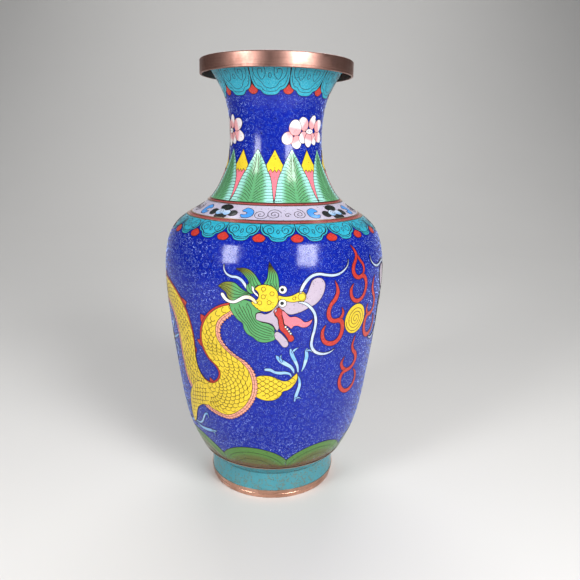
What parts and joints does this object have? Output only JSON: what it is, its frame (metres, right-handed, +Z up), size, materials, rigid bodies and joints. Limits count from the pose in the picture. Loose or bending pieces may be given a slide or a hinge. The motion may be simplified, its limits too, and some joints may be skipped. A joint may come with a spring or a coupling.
{
  "type": "cloisonne vase",
  "caption": "Shouldered metal vase with a flared neck, enamel laid between wires on brazed copper shells, and a turned copper mouth rim and foot rim.",
  "frame": {"origin": "centre of the foot's resting face", "axes": "+Z up along the vase's axis of turning, -Y towards the front, where the left-hand dragon's head is; +X to the right seen from the front"},
  "size_m": [0.1576, 0.1576, 0.305],
  "materials": {
    "copper": "hammered sheet, dull inside",
    "rim_copper": "turned and polished, light brush marks and scratches",
    "silver_solder": "brazed fillet",
    "gilt_wire": "flattened wire, ground flush and gilt",
    "blue_enamel": "ground and polished, fine pits and pale specks",
    "turquoise_enamel": "ground and polished, fine pits",
    "red_enamel": "ground and polished",
    "lilac_enamel": "ground and polished",
    "black_enamel": "ground and polished",
    "white_enamel": "ground and polished",
    "pink_enamel": "ground and polished",
    "yellow_enamel": "ground and polished",
    "leaf_enamel": "ground and polished, pale turquoise barbs",
    "hill_enamel": "ground and polished, shaded to olive",
    "brown_enamel": "ground and polished",
    "counter_enamel": "fired gloss, thin and uneven"
  },
  "bodies": {
    "root": {"mouth_rim": "rim_copper", "foot_rim": "rim_copper", "rim_solder": "silver_solder", "neck_braze": "silver_solder", "belly_braze": "silver_solder", "foot_braze": "silver_solder", "flare_braze": "silver_solder", "mouth_flare": "copper", "neck_shell": "copper", "shoulder_shell": "copper", "belly_shell": "copper", "base_plate": "copper", "foot_band": "copper", "neck_lining": "counter_enamel", "body_lining": "counter_enamel", "base_lining": "counter_enamel", "underside_enamel": "counter_enamel", "foot_enamel": "turquoise_enamel", "hem_turquoise": "turquoise_enamel", "hem_enamel": "brown_enamel", "hill_enamel": "hill_enamel", "body_ground": "blue_enamel", "neck_ground": "blue_enamel", "shoulder_clouds": "turquoise_enamel", "shoulder_drops": "red_enamel", "pearl_enamel": "yellow_enamel", "lower_fillet": "red_enamel", "upper_fillet": "red_enamel", "flower_band": "lilac_enamel", "flower_petals": "black_enamel", "flower_hearts": "white_enamel", "bud_tips": "yellow_enamel", "bud_roots": "pink_enamel", "lappet_leaves": "leaf_enamel", "neck_blossoms": "white_enamel", "collar_clouds": "turquoise_enamel", "collar_drops": "red_enamel", "border_wires": "gilt_wire", "motif_wires": "gilt_wire"}
  },
  "joints": []
}
